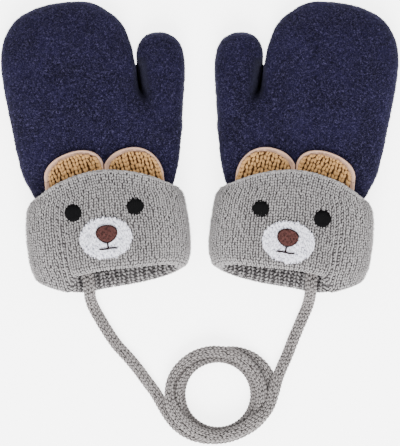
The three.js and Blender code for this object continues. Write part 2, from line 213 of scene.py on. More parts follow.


# Knitted yarn: painted dark where a stitch dips under the next one and painted pale on its crown, as painted shade
# and light, with fine fibres
def knitMaterial(name, look, base=False):
    paint = Paint(name)
    fibre = paint.grain(0.35, 2.0, 0.6)
    patch = paint.grain(9.0, 2.0, 0.5)
    # The core under the stitches is painted mostly in the gap colour, as painted shade between the stitches
    if base:
        crown = paint.spread(fibre, 0.3, 0.9) * 0.25
        tone = patch * 0.3
    else:
        crown = paint.spread(paint.own("crown"), 0.05, 0.75)
        tone = paint.own("tone") + patch * 0.16
    pale = crown * (1.0 - paint.spread(fibre, 0.5, 0.75) * 0.22) - tone + 0.1
    colour = paint.blend(paint.spread(pale, 0.0, 1.0), look["paintedGapShade"], look["yarn"])
    normal = paint.bump(fibre, 0.12, 0.8)
    return paint.finish(colour, 0.92, normal, 0.25, look["tint"])


# Each thread's crown colour, the colour of its painted shade where it dips, its sheen tint and its specks
threadColours = {
    "blackThread": {"crown": seen(9, 9, 10), "paintedGapShade": seen(3, 3, 4), "tint": seen(40, 40, 44), "specks": 0.0},
    "whiteThread": {"crown": seen(242, 242, 252), "paintedGapShade": seen(120, 120, 134), "tint": seen(250, 250, 255), "specks": 0.75},
    "brownThread": {"crown": seen(82, 51, 48), "paintedGapShade": seen(28, 16, 15), "tint": seen(160, 120, 110), "specks": 0.6},
    "darkThread": {"crown": seen(26, 12, 12), "paintedGapShade": seen(12, 6, 6), "tint": seen(60, 44, 44), "specks": 0.0},
}


# Embroidery thread, smoother than yarn, painted dark where it dips and pale on its crown, as painted shade and
# light
def threadMaterial(name, look):
    paint = Paint(name)
    fibre = paint.grain(0.22, 1.0, 0.5)
    specks = paint.spread(paint.grain(1.0, 1.0, 0.5, 0.8), 0.55, 0.7)
    pale = paint.spread(paint.own("crown"), 0.1, 0.8) - paint.own("tone") * 1.4 - specks * look["specks"]
    colour = paint.blend(paint.spread(pale, 0.0, 1.0), look["paintedGapShade"], look["crown"])
    normal = paint.bump(fibre, 0.05, 0.6)
    return paint.finish(colour, 0.6, normal, 0.06, look["tint"])


materials = {
    "navyWool": woolMaterial("navyWool", 0.0),
    "navyNap": woolMaterial("navyNap", 0.22),
}
for name, look in knitColours.items():
    materials[name] = knitMaterial(name, look)
    materials[name + "Base"] = knitMaterial(name + "Base", look, base=True)
for name, look in threadColours.items():
    materials[name] = threadMaterial(name, look)
print("materials made")


# Reading the tables smoothly
def tableOf(columns, rows):
    return {name: np.array(rows, float)[:, i] for i, name in enumerate(columns.split())}


def along(table, column, key, at):
    places, values = table[key], table[column]
    last = len(places) - 1
    index = np.arange(last + 1)
    before, after = np.maximum(index - 1, 0), np.minimum(index + 1, last)
    slopes = (values[after] - values[before]) / (places[after] - places[before])
    at = np.clip(at, places[0], places[last])
    i = np.clip(np.searchsorted(places, at, side="right") - 1, 0, last - 1)
    step = places[i + 1] - places[i]
    t = (at - places[i]) / step
    ends = (2 * t**3 - 3 * t**2 + 1) * values[i] + (3 * t**2 - 2 * t**3) * values[i + 1]
    return ends + step * ((t**3 - 2 * t**2 + t) * slopes[i] + (t**3 - t**2) * slopes[i + 1])


def smoothStep(low, high, value):
    t = np.clip((value - low) / (high - low), 0, 1)
    return t * t * (3 - 2 * t)


def mixed(first, second, share):
    return first + (second - first) * share


def unit(vectors):
    return vectors / np.maximum(np.linalg.norm(vectors, axis=-1, keepdims=True), 1e-9)


# Sections of the cloth, as flat-bottomed rounded humps
form = {"widest": 0.42, "handFullness": 2.3, "cuffFullness": 2.7, "softEdge": 0.5}
edges = ("left", "right", "top", "floor")

handTable = tableOf("v left right top floor", [
    (44, -28.4, 34.5, 18.0, 3.6),
    (47, -30.6, 36.5, 18.0, 3.6),
    (50.5, -31.9, 37.9, 17.9, 3.4),
    (55, -34.0, 39.4, 17.7, 2.3),
    (60, -35.5, 40.7, 17.3, 0.8),
    (66, -36.3, 41.9, 17.1, 0),
    (73, -37.3, 42.7, 17.0, 0),
    (80, -37.9, 38.2, 17.0, 0),
    (86, -38.6, 31.8, 17.1, 0),
    (91, -39.0, 26.8, 17.1, 0),
    (98, -39.6, 24.3, 16.8, 0),
    (106, -40.0, 23.1, 16.1, 0),
    (114, -40.0, 22.8, 15.7, 0),
    (121, -38.7, 21.9, 14.9, 0),
    (125.2, -37.1, 20.3, 14.1, 0),
    (129.2, -34.5, 17.6, 12.9, 0),
    (132.2, -31.9, 14.8, 11.8, 0),
    (134.7, -28.6, 11.8, 10.5, 0),
    (136.7, -24.1, 9.1, 9.2, 0),
    (138.2, -19.4, 6.0, 7.8, 0),
    (139.3, -13.0, 2.0, 5.8, 0.8),
])
thumbTable = tableOf("v left right top floor", [
    (65, 23.0, 38.0, 11.5, 0),
    (71, 23.2, 42.9, 13.2, 0),
    (77, 23.6, 43.9, 13.8, 0),
    (84, 24.8, 45.1, 14.0, 0),
    (91, 26.4, 46.2, 14.0, 0),
    (98, 24.6, 47.4, 13.8, 0),
    (104, 24.7, 48.0, 13.4, 0),
    (109, 24.9, 47.9, 12.7, 0),
    (113, 25.7, 47.0, 11.6, 0),
    (116.5, 27.4, 44.9, 10.0, 0),
    (119, 29.8, 41.7, 8.0, 0),
    (120.2, 32.2, 38.7, 5.6, 0.8),
])
cuffTable = tableOf("v left right top floor", [
    (-1, -32.3, 37.7, 19.2, 0),
    (6.5, -33.2, 38.6, 21.1, 0),
    (9.5, -34.0, 39.3, 21.8, 0),
    (12, -34.9, 40.3, 22.3, 0),
    (15, -35.5, 41.0, 22.9, 0),
    (20, -35.7, 41.4, 23.6, 0),
    (26, -35.8, 41.5, 24.2, 0),
    (33, -35.5, 41.2, 24.5, 0),
    (39, -34.7, 40.7, 24.5, 0),
    (42, -33.8, 40.0, 24.5, 0),
    (45, -31.9, 38.3, 24.5, 0),
    (49, -32.2, 38.5, 24.4, 0),
    (54, -34.5, 40.0, 24.3, 0),
    (60, -37.0, 42.0, 24.0, 0),
])


def sectionOf(table, v, inward=0.0):
    left, right, top, floor = (along(table, edge, "v", v) for edge in edges)
    return left + inward, right - inward, top - inward, np.maximum(floor, 0) + inward


def directionOf(angle, fullness):
    across, up = np.cos(angle), np.sin(angle)
    power = 2 / fullness
    return np.sign(across) * np.abs(across) ** power, np.sign(up) * np.abs(up) ** power


def sectionPoint(section, direction, v):
    left, right, top, floor = section
    across, up = direction
    widest = floor + form["widest"] * (top - floor)
    above = widest + (top - widest) * up - floor
    soft = form["softEdge"]
    z = floor + soft * np.logaddexp(0, above / soft)
    u = (left + right) / 2 + (right - left) / 2 * across
    return np.stack(np.broadcast_arrays(u, v, z), axis=-1)


# The height of a cloth's top, and points lifted straight out of it
def topOf(table, fullness, u, v):
    left, right, top, floor = sectionOf(table, v)
    across = np.clip(np.abs((u - (left + right) / 2) / ((right - left) / 2)), 0, 0.995)
    widest = floor + form["widest"] * (top - floor)
    return widest + (top - widest) * (1 - across**fullness) ** (1 / fullness)


def onTop(table, fullness, u, v, lift):
    step = 0.5
    slopeU = (topOf(table, fullness, u + step, v) - topOf(table, fullness, u - step, v)) / (2 * step)
    slopeV = (topOf(table, fullness, u, v + step) - topOf(table, fullness, u, v - step)) / (2 * step)
    normal = unit(np.stack([-slopeU, -slopeV, np.ones_like(slopeU)], axis=-1))
    base = np.stack(np.broadcast_arrays(u, v, topOf(table, fullness, u, v)), axis=-1)
    return base + normal * np.expand_dims(np.broadcast_to(lift, base.shape[:-1]), -1)


# From a mitten's own frame, in millimetres, to the row's, in metres
mitten = {"x": -44.04, "y": -68.51, "tilt": math.radians(6)}


def toRow(points, side):
    cosine, sine = math.cos(mitten["tilt"]), math.sin(mitten["tilt"])
    u, v, z = points[..., 0], points[..., 1], points[..., 2]
    x = mitten["x"] + u * cosine - v * sine
    y = mitten["y"] + u * sine + v * cosine
    return np.stack([-x if side == "right" else x, y, z], axis=-1) * mm


def makePiece(name, points, faces, material, side="", marks=None):
    mesh = bpy.data.meshes.new(name)
    places = toRow(points, side) if side else points * mm
    if side == "right":
        faces = [face[::-1] for face in faces]
    mesh.from_pydata(places.tolist(), [], faces)
    for mark, values in (marks or {}).items():
        mesh.attributes.new(mark, "FLOAT", "POINT").data.foreach_set("value", values.astype(np.float32))
    mesh.shade_smooth()
    mesh.materials.append(materials[material])
    piece = bpy.data.objects.new(name, mesh)
    bpy.context.collection.objects.link(piece)
    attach(piece, "root")
    return piece


# Strands: closed spindles along paths, for stitches, threads and fibres
def strands(paths, normals, halfWidth, halfHeight, corners, sizes):
    count, length = paths.shape[:2]
    halfWidth = np.broadcast_to(halfWidth, count)[:, None, None, None]
    halfHeight = np.broadcast_to(halfHeight, count)[:, None, None, None]
    tangents = unit(np.gradient(paths, axis=1))
    across = unit(np.cross(tangents, normals))
    up = np.cross(across, tangents)
    turn = np.arange(corners) / corners * 2 * np.pi
    size = np.array(sizes)[None, :, None, None]
    ring = np.cos(turn)[None, None, :, None] * across[:, 1:-1, None] * halfWidth
    ring = ring + np.sin(turn)[None, None, :, None] * up[:, 1:-1, None] * halfHeight
    rings = paths[:, 1:-1, None] + ring * size
    inner = (length - 2) * corners
    points = np.concatenate([paths[:, :1], rings.reshape(count, inner, 3), paths[:, -1:]], axis=1)
    starts = np.arange(count) * (inner + 2)
    faces = []
    for station in range(length - 3):
        for corner in range(corners):
            here = 1 + station * corners + corner
            beside = 1 + station * corners + (corner + 1) % corners
            quad = np.array([here, here + corners, beside + corners, beside])
            faces += (starts[:, None] + quad).tolist()
    for corner in range(corners):
        beside = (corner + 1) % corners
        first = np.array([0, 1 + corner, 1 + beside])
        last = inner + 1 - corners
        second = np.array([inner + 1, last + beside, last + corner])
        faces += (starts[:, None] + first).tolist() + (starts[:, None] + second).tolist()
    return points, faces


# How high each point of a strand stands on it, from 0 at a tip to 1 on the crown; the materials paint it paler on
# top and darker at its tips, as painted light and shade
def crownsOf(count, corners, sizes):
    turn = np.arange(corners) / corners * 2 * np.pi
    body = np.array(sizes)[:, None] ** 2 * (0.45 + 0.55 * np.sin(turn))[None]
    one = np.concatenate([[0.0], body.ravel(), [0.0]])
    return np.tile(one, count), len(one)


# Shade makes single strands darker, or paler where it is below 0
def strandPiece(name, paths, normals, halfWidth, halfHeight, corners, sizes, material, side, random, shade=0):
    points, faces = strands(paths, normals, halfWidth, halfHeight, corners, sizes)
    crown, each = crownsOf(len(paths), corners, sizes)
    tone = np.repeat(random.random(len(paths)) * 0.22 + shade, each)
    points = points.reshape(-1, 3)
    points[:, 2] = np.maximum(points[:, 2], 0.03)
    return makePiece(name, points, faces, material, side, {"crown": crown, "tone": tone})


# The two legs of every stitch, as paths over a surface that is read by wale and row
def stitchLegs(surface, wale, row, stitch, random):
    t = np.linspace(0, 1, stitch["points"])
    small = 0.05
    paths, normals = [], []
    for leg in (-1, 1):
        shift = random.normal(0, stitch["uneven"], (2, len(wale)))
        w = (wale + shift[0])[:, None] + leg * mixed(stitch["foot"], stitch["shoulder"], t)
        r = (row + shift[1])[:, None] + stitch["reach"] * (0.5 - t)
        overWale = surface(w + small, r) - surface(w - small, r)
        overRow = surface(w, r + small) - surface(w, r - small)
        normal = unit(np.cross(overWale, overRow))
        lift = stitch["rise"] * np.sin(np.pi * t) - stitch["tuck"]
        paths.append(surface(w, r) + normal * lift[None, :, None])
        normals.append(normal)
    return np.concatenate(paths), np.concatenate(normals)


spindle = (0.78, 1.0, 0.78)

# The neck cord: its route comes first, because other pieces keep clear of it
cord = {
    "width": 5.0,
    "height": 3.3,
    "spacing": 1.5,
    "core": 0.35,
    "grooveShade": 0.75,
    "wales": 9,
    "row": 1.9,
    "coilX": 8.7,
    "coilY": -120.0,
    "turnStep": 12,
    "leftRun": [
        (-54.3, -56.8, 8.4), (-53.8, -61.5, 8.4), (-53.3, -66.0, 8.4), (-53.0, -70.0, 7.3),
        (-52.8, -73.4, 4.4), (-51.4, -77.8, 2.2), (-48.2, -83.6, 1.8), (-44.7, -89.4, 1.8),
        (-40.3, -95.8, 1.8), (-34.9, -101.8, 1.8), (-30.0, -107.6, 1.8), (-26.2, -112.8, 1.8),
        (-21.6, -119.0, 1.8), (-18.0, -125.2, 1.8),
    ],
    "rightRun": [
        (36.1, -117.2, 5.6), (37.3, -112.6, 4.7), (39.5, -107.2, 3.6), (42.5, -100.6, 2.3),
        (45.9, -92.0, 1.8), (49.3, -84.0, 1.8), (51.9, -77.8, 2.2), (53.0, -73.4, 4.4),
        (53.3, -70.0, 7.3), (53.5, -66.0, 8.4), (53.8, -61.5, 8.4), (54.3, -56.8, 8.4),
    ],
    # Turning angle, distance from the coil's middle, height and roll of the cord's section
    "turns": tableOf("turn radius z roll", [
        (204, 25.8, 1.8, 0),
        (235, 23.4, 1.8, 0),
        (265, 21.4, 1.8, 0),
        (300, 21.4, 1.8, 0),
        (330, 23.6, 1.8, 0),
        (358, 26.2, 1.8, 0),
        (383, 26.2, 1.8, 0),
        (405, 24.6, 1.8, 0),
        (430, 21.9, 2.0, 20),
        (455, 19.6, 2.3, 45),
        (500, 18.0, 2.6, 62),
        (630, 17.7, 2.6, 62),
        (720, 17.9, 2.6, 62),
        (800, 17.8, 2.7, 60),
        (850, 18.4, 3.9, 30),
        (890, 19.8, 5.2, 0),
        (990, 19.6, 5.2, 0),
        (1035, 20.6, 5.2, 0),
        (1080, 21.2, 5.2, 0),
        (1118, 20.6, 5.2, 0),
        (1170, 21.0, 5.2, 0),
        (1215, 22.2, 5.2, 0),
        (1245, 23.0, 5.6, 0),
        (1268, 22.7, 6.9, 0),
        (1295, 21.0, 8.4, 0),
        (1330, 19.8, 8.5, 0),
        (1370, 19.4, 8.5, 0),
        (1398, 20.8, 8.2, 0),
        (1418, 23.6, 7.3, 0),
        (1434, 26.2, 6.4, 0),
    ]),
}


def cordRoute():
    turns = cord["turns"]
    angles = np.arange(turns["turn"][0], turns["turn"][-1] + 1, cord["turnStep"])
    radius = along(turns, "radius", "turn", angles)
    heading = np.radians(angles)
    coil = np.stack([
        cord["coilX"] + radius * np.cos(heading),
        cord["coilY"] + radius * np.sin(heading),
        along(turns, "z", "turn", angles),
        along(turns, "roll", "turn", angles),
    ], axis=1)
    flat = lambda run: np.array([(*point, 0.0) for point in run])
    knots = np.concatenate([flat(cord["leftRun"]), coil, flat(cord["rightRun"])])
    table = {name: knots[:, i] for i, name in enumerate(("x", "y", "z", "roll"))}
    gaps = np.linalg.norm(np.diff(knots[:, :3], axis=0), axis=1)
    table["at"] = np.concatenate([[0], np.cumsum(gaps)])
    fine = np.linspace(0, table["at"][-1], 3000)
    line = np.stack([along(table, name, "at", fine) for name in ("x", "y", "z", "roll")], axis=1)
    walked = np.concatenate([[0], np.cumsum(np.linalg.norm(np.diff(line[:, :3], axis=0), axis=1))])
    steps = np.linspace(0, walked[-1], int(walked[-1] / cord["spacing"]) + 1)
    return steps, np.stack([np.interp(steps, walked, line[:, i]) for i in range(4)], axis=1)


cordSteps, cordLine = cordRoute()
cordTangent = unit(np.gradient(cordLine[:, :3], axis=0))
cordFlat = unit(np.cross(cordTangent, (0, 0, 1)))
cordRoll = np.radians(cordLine[:, 3])[:, None]
cordAcross = cordFlat * np.cos(cordRoll) + np.cross(cordTangent, cordFlat) * np.sin(cordRoll)
cordUp = np.cross(cordAcross, cordTangent)


def readCord(values, at):
    return np.stack([np.interp(at, cordSteps, values[:, i]) for i in range(3)], axis=-1)


# The cord's surface at a turn round it and a distance along it
def cordSurface(turn, at, sunk=0.0):
    middle, across, up = (readCord(v, at) for v in (cordLine, cordAcross, cordUp))
    width = (cord["width"] / 2 - sunk) * np.cos(turn)[..., None]
    height = (cord["height"] / 2 - sunk) * np.sin(turn)[..., None]
    return middle + across * width + up * height


# How near a stitch lies to another turn of the cord, from 0 to 1, which sets the painted shade in the grooves
# between turns
def grooved(points, at):
    line = cordLine[::2, :3]
    away = np.linalg.norm(points[:, None] - line[None], axis=2)
    away[np.abs(at[:, None] - cordSteps[None, ::2]) < 12] = 99
    return smoothStep(-3.4, -2.2, -away.min(axis=1))


def makeCord():
    corners = 20
    turn = np.arange(corners) / corners * 2 * np.pi
    rings = cordSurface(turn[None, :] + 0 * cordSteps[:, None], cordSteps[:, None] + 0 * turn, cord["core"])
    count = len(cordSteps)
    points = np.concatenate([rings.reshape(-1, 3), cordLine[:1, :3], cordLine[-1:, :3]])
    points[:, 2] = np.maximum(points[:, 2], 0.03)
    faces = []
    for i in range(count - 1):
        for k in range(corners):
            beside = (k + 1) % corners
            low, high = i * corners, (i + 1) * corners
            faces.append([low + k, high + k, high + beside, low + beside])
    for k in range(corners):
        beside = (k + 1) % corners
        last = (count - 1) * corners
        faces.append([count * corners, k, beside])
        faces.append([count * corners + 1, last + beside, last + k])
    core = makePiece("neckCord", points, faces, "greyCordBase")
    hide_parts("cord_left_run", "cord_coil", "cord_right_run")

    random = np.random.default_rng(11)
    stitch = {"points": 5, "foot": 0.10, "shoulder": 0.42, "reach": 1.38, "rise": 0.55,
              "tuck": 0.4, "uneven": 0.07}
    rows = int(cordSteps[-1] / cord["row"])
    wale, row = np.meshgrid(np.arange(cord["wales"]), np.arange(1, rows), indexing="ij")
    row = (row + 0.37 * wale % 1).ravel()
    surface = lambda w, r: cordSurface(-w / cord["wales"] * 2 * np.pi, r * cord["row"])
    paths, normals = stitchLegs(surface, wale.ravel(), row, stitch, random)
    width = 0.47 * (1 + 0.1 * random.normal(size=len(paths)))
    at = np.tile(row * cord["row"], 2)
    fromMiddle = np.hypot(paths[:, 2, 0] - cord["coilX"], paths[:, 2, 1] - cord["coilY"])
    # Painted shade: stitches are darker near another turn of the cord and on the coil's inner side
    shade = cord["grooveShade"] * grooved(paths[:, 2], at) + 0.3 * smoothStep(-18.6, -16.4, -fromMiddle)
    knit = strandPiece(
        "neckCordKnit", paths, normals, width, 0.36, 4, spindle, "greyCord", "", random, shade)


makeCord()
print("cord made")


# The hands: brushed wool, with the thumb joined in
hand = {
    "wall": 3.0,
    "thumbWall": 3.2,
    "start": 44.0,
    "tip": (-5.5, 139.7, 3.3),
    "thumbTip": (35.5, 120.7, 3.2),
    "sunk": -0.05,
    "outerVoxel": 0.74,
    "outerSmoothing": 5,
    "innerVoxel": 2.0,
    "fibres": 8000,
    "flat": (0.172, 0.1),
}


def tubeFaces(rings, corners, closed=False):
    faces = []
    for i in range(rings if closed else rings - 1):
        low, high = i * corners, (i + 1) % rings * corners
        for k in range(corners):
            beside = (k + 1) % corners
            faces.append([high + k, high + beside, low + beside, low + k])
    return faces


def closedTube(rings, start, end):
    count, corners = rings.shape[:2]
    points = np.concatenate([rings.reshape(-1, 3), [start], [end]])
    faces = tubeFaces(count, corners)
    last = (count - 1) * corners
    for k in range(corners):
        beside = (k + 1) % corners
        faces.append([count * corners, k, beside])
        faces.append([count * corners + 1, last + beside, last + k])
    return points, faces


def clothTube(table, tip, inward, start, corners=72):
    end = table["v"][-1]
    share = np.linspace(0, 1, 70)[:, None]
    v = start + (end - start) * (1 - (1 - share) ** 1.6)
    turn = np.arange(corners)[None] / corners * 2 * np.pi
    direction = directionOf(turn, form["handFullness"])
    left, right, top, floor = sectionOf(table, v)
    narrowing = np.clip((right - left) / 24, 0.2, 1)
    lowering = np.clip((top - floor) / 12, 0.3, 1)
    section = (left + inward * narrowing, right - inward * narrowing,
               top - inward * lowering, floor + inward * lowering)
    v = v - inward * smoothStep(end - 18, end, v)
    rings = sectionPoint(section, direction, v + 0 * turn)
    middle = rings[0].mean(axis=0)
    return closedTube(rings, middle, np.array(tip) - (0, inward, 0))


def looseMesh(name, parts):
    mesh = bpy.data.meshes.new(name)
    points = np.concatenate([part[0] for part in parts])
    faces, start = [], 0
    for part in parts:
        faces += [[index + start for index in face] for face in part[1]]
        start += len(part[0])
    mesh.from_pydata((points * mm).tolist(), [], faces)
    loose = bpy.data.objects.new(name, mesh)
    bpy.context.collection.objects.link(loose)
    return loose


def settled(loose):
    shaped = loose.evaluated_get(bpy.context.evaluated_depsgraph_get())
    mesh = bpy.data.meshes.new_from_object(shaped)
    loose.modifiers.clear()
    loose.data = mesh
    return loose


def remeshed(loose, voxel, smoothing):
    remesh = loose.modifiers.new("remesh", "REMESH")
    remesh.mode = "VOXEL"
    remesh.voxel_size = voxel * mm
    smooth = loose.modifiers.new("smooth", "SMOOTH")
    smooth.factor = 0.5
    smooth.iterations = smoothing
    return settled(loose)


def meshArrays(mesh, *wanted):
    found = []
    for kind, items in wanted:
        values = np.zeros(len(items) * (1 if kind == "area" else 3), np.float32)
        items.foreach_get(kind, values)
        found.append(values if kind == "area" else values.reshape(-1, 3))
    return found


# Soft hollows and swellings over the wool, and its uneven pile, in millimetres
def woolRelief(place):
    broad = noise.noise(place * 45) * 0.3
    medium = noise.noise(place * 190 + Vector((3, 1, 7))) * 0.1
    return broad + medium + noise.noise(place * 620) * 0.12


# The crease where the hand's edge lies over the thumb: its course, depth and reach to each side, and how far its
# painted shade reaches on the thumb
crease = {
    "course": tableOf("v u depth", [
        (86.5, 26.8, 0.0),
        (89.5, 25.9, 3.0),
        (93.0, 25.1, 7.0),
        (98.5, 24.9, 9.0),
        (104.0, 25.2, 9.0),
        (108.0, 25.2, 5.0),
        (110.5, 25.3, 0.0),
    ]),
    "reachHand": 1.1,
    "reachThumb": 3.4,
    "shadeReach": 4.6,
}
# How far the fork's two sides are drawn together, as a share of their distance from the thumb's edge
fork = tableOf("v u share", [
    (99, 24.6, 0.0),
    (103, 24.7, 0.55),
    (106, 24.8, 0.62),
    (110, 25.0, 0.5),
    (114, 25.9, 0.36),
    (118, 28.0, 0.14),
    (122, 30.0, 0.0),
])


def creaseDepth(u, v):
    course = crease["course"]
    away = u - along(course, "u", "v", v)
    reach = crease["reachThumb"] if away > 0 else crease["reachHand"]
    return along(course, "depth", "v", v) * math.exp(-(abs(away / reach) ** 2.0))


def drawnTogether(u, v):
    away = u - along(fork, "u", "v", v)
    return u - away * along(fork, "share", "v", v) * math.exp(-((away / 5) ** 2))


# Painted shade: the wool's colour is darkened in the crease, and softly beside it on the thumb
def woolShade(points):
    u, v = points[:, 0], points[:, 1]
    course = crease["course"]
    away = u - along(course, "u", "v", v)
    reach = np.where(away > 0, crease["shadeReach"], crease["reachHand"])
    paintedShade = np.minimum(along(course, "depth", "v", v) / 6, 1) * np.exp(-(np.abs(away / reach) ** 1.8))
    return paintedShade * 0.9 * (points[:, 2] > 1.5)


def makeHandForm():
    outside = looseMesh("handOutside", [
        clothTube(handTable, hand["tip"], hand["sunk"], hand["start"]),
        clothTube(thumbTable, hand["thumbTip"], hand["sunk"], 65),
    ])
    inside = looseMesh("handInside", [
        clothTube(handTable, hand["tip"], hand["wall"], hand["start"] - 4),
        clothTube(thumbTable, hand["thumbTip"], hand["thumbWall"], 72),
    ])
    remeshed(outside, hand["outerVoxel"], hand["outerSmoothing"])
    remeshed(inside, hand["innerVoxel"], 6)
    mesh = outside.data
    lowest = 2.2 * mm
    for vertex in mesh.vertices:
        place = vertex.co.copy()
        vertex.co += vertex.normal * woolRelief(place) * mm
        if 12 < place.x / mm < 40 and 86 < place.y / mm < 122:
            u = drawnTogether(vertex.co.x / mm, place.y / mm)
            vertex.co.x = u * mm
            if place.z > lowest:
                vertex.co.z = max(vertex.co.z - creaseDepth(u, place.y / mm) * mm, lowest)
        vertex.co.z = max(vertex.co.z, 0.02 * mm)
    centres, normals, areas = meshArrays(
        mesh, ("center", mesh.polygons), ("normal", mesh.polygons), ("area", mesh.polygons))
    cut = outside.modifiers.new("hollow", "BOOLEAN")
    cut.operation = "DIFFERENCE"
    cut.solver = "MANIFOLD"
    cut.object = inside
    settled(outside)
    form = outside.data
    points = np.zeros(len(form.vertices) * 3, np.float32)
    form.vertices.foreach_get("co", points)
    faces = [list(face.vertices) for face in form.polygons]
    bpy.data.objects.remove(outside)
    bpy.data.objects.remove(inside)
    return points.reshape(-1, 3) / mm, faces, (centres / mm, normals, areas)


# Short fibres that lie in all directions over the wool
def makeNap(side, surface, random):
    centres, normals, areas = surface
    wanted = (centres[:, 2] > 1.5) & (centres[:, 1] > 46) & (woolShade(centres) < 0.3)
    chance = np.where(wanted, areas, 0)
    picked = random.choice(len(centres), hand["fibres"], p=chance / chance.sum())
    start, normal = centres[picked], normals[picked]
    heading = unit(np.cross(normal, unit(random.normal(size=start.shape))))
    length = random.uniform(1.2, 2.8, len(start))[:, None]
    bend = unit(np.cross(normal, heading)) * random.normal(0, 0.35, len(start))[:, None]
    lift = random.uniform(0.02, 0.4, len(start))[:, None] ** 1.5
    paths = np.stack([
        start - heading * length / 2 - normal * 0.1,
        start + bend + normal * lift,
        start + heading * length / 2 + normal * lift * 1.6,
    ], axis=1)
    return strandPiece(f"{side}Nap", paths, np.repeat(normal[:, None], 3, axis=1), 0.085, 0.07, 3,
                       (1.0,), "navyNap", side, random)


handPoints, handFaces, woolSurface = makeHandForm()
print("hand form", len(handPoints), "points")
for number, side in enumerate(sides):
    # The shade mark paints shade into the wool in the crease
    marks = {"shade": woolShade(handPoints)}
    piece = makePiece(f"{side}HandWool", handPoints, handFaces, "navyWool", side, marks)
    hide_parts(f"{side}_hand", f"{side}_thumb")
    nap = makeNap(side, woolSurface, np.random.default_rng(21 + number))
print("hands made")


# The cuffs: one knitted tube, folded back on itself
cuff = {
    "turnUpWall": 3.0,
    "slot": 0.4,
    "ribWall": 2.6,
    "ribEnd": 43.7,
    "middle": 2.6,
    "half": 36.0,
    "fold": {"back": 0.9, "front": 9.5, "bow": 4.2, "corner": 1.4, "dip": 2.35, "dipAt": -0.55, "dipReach": 0.36},
    "drawn": {"from": -0.67, "to": -0.47, "sag": 1.8, "sagTo": -0.1},
    "hem": {"front": 56.0, "back": 50.0, "side": 45.0, "power": 1.8},
    "wales": 72,
    "hemRows": 32,
    "foldRows": 6,
    "ribRows": 24,
    "shownRibRows": 13,
    "ribs": 32,
    "ribDepth": 1.0,
    "relief": 0.45,
    "fibres": 6500,
    "flat": (0.165, 0.098),
}
foldRadius = (cuff["turnUpWall"] + cuff["slot"] + cuff["ribWall"]) / 2


def foldAt(across, up):
    fold, drawn = cuff["fold"], cuff["drawn"]
    rise = fold["bow"] * across**2 + fold["corner"] * across**10
    dip = fold["dip"] * np.exp(-(((across - fold["dipAt"]) / fold["dipReach"]) ** 2))
    back = fold["back"] + rise - dip
    side = fold["back"] + fold["bow"] + fold["corner"]
    sag = drawn["sag"] * (1 - smoothStep(drawn["from"], drawn["sagTo"], across))
    drawnBack = mixed(fold["front"], side, across**10) - sag
    front = mixed(back, drawnBack, smoothStep(drawn["from"], drawn["to"], across))
    return mixed(back, front, smoothStep(-0.35, 0.35, up))


def hemAt(across, up):
    hem = cuff["hem"]
    middle = mixed(hem["back"], hem["front"], smoothStep(-0.35, 0.35, up))
    return mixed(middle, hem["side"], np.abs(across) ** hem["power"])


def hemLine(u):
    across = np.clip((u - cuff["middle"]) / cuff["half"], -1, 1)
    return hemAt(across, 1 + 0 * across)


# A point of the cuff: place is 0 at the hem, 1 and 2 at the fold's two edges, 3 at the rib's end
def cuffPoint(angle, place, sunk=0.0):
    direction = directionOf(angle, form["cuffFullness"])
    across, up = direction
    foldPlace = foldAt(across, up)
    low = foldPlace + foldRadius
    phi = np.clip(place - 1, 0, 1) * np.pi
    turnUpV = low + (hemAt(across, up) - low) * (1 - place)
    foldV = low - (foldRadius - sunk) * np.sin(phi)
    ribV = low + (cuff["ribEnd"] - low) * (place - 2)
    v = np.where(place < 1, turnUpV, np.where(place < 2, foldV, ribV))
    inward = foldRadius - (foldRadius - sunk) * np.cos(phi)
    outer = sectionOf(cuffTable, v, inward)
    inRib = smoothStep(16, hand["start"], v) * (place > 2)
    wrist = sectionOf(handTable, hand["start"] + 0 * v, cuff["ribWall"] - sunk)
    section = tuple(mixed(a, b, inRib) for a, b in zip(outer, wrist))
    return sectionPoint(section, direction, v)


# Angles that space the wales evenly round the cuff
def evenAngles():
    fine = np.linspace(0, 2 * np.pi, 1441)
    ring = cuffPoint(fine, 0.4 + 0 * fine)[:, [0, 2]]
    walked = np.concatenate([[0], np.cumsum(np.linalg.norm(np.diff(ring, axis=0), axis=1))])
    return walked / walked[-1] * cuff["wales"], fine


evenWales, fineAngles = evenAngles()
rowMarks = np.cumsum([0, cuff["hemRows"], cuff["foldRows"], cuff["ribRows"]])


def angleOf(wale):
    turns = np.floor(wale / cuff["wales"])
    return np.interp(wale - turns * cuff["wales"], evenWales, fineAngles) + turns * 2 * np.pi


def placeOf(row):
    before = np.minimum(row, 0) / cuff["hemRows"]
    return np.interp(row, rowMarks, [0, 1, 2, 3]) + before


# Gentle swellings of the cuff: middle u and v, reach, height
swellings = [
    (-24, 22, 12, 0.5), (28, 30, 14, 0.5), (2, 48, 12, 0.4), (-30, 44, 9, -0.35),
    (20, 14, 10, 0.45), (-10, 9, 9, 0.4), (34, 48, 9, -0.4), (8, 34, 8, -0.2),
]


# How deep the valleys between the ribs lie, from the fold inwards
def valleyAt(wale, place):
    share = 0.5 - 0.5 * np.cos(wale / cuff["wales"] * cuff["ribs"] * 2 * np.pi)
    return share**1.4 * smoothStep(1.4, 1.9, place)


def knitSurface(wale, row, sunk=0.0):
    angle, place = angleOf(wale), placeOf(row)
    points = cuffPoint(angle, place, sunk)
    swell = sum(
        height * np.exp(-((points[..., 0] - u) ** 2 + (points[..., 1] - v) ** 2) / reach**2)
        for u, v, reach, height in swellings
    )
    points[..., 2] += swell * smoothStep(8, 18, points[..., 2]) * (place < 1.5)
    middle = np.stack([cuff["middle"] + 0 * angle, points[..., 1], 10 + 0 * angle], axis=-1)
    return points + unit(points - middle) * (cuff["ribDepth"] * valleyAt(wale, place))[..., None]


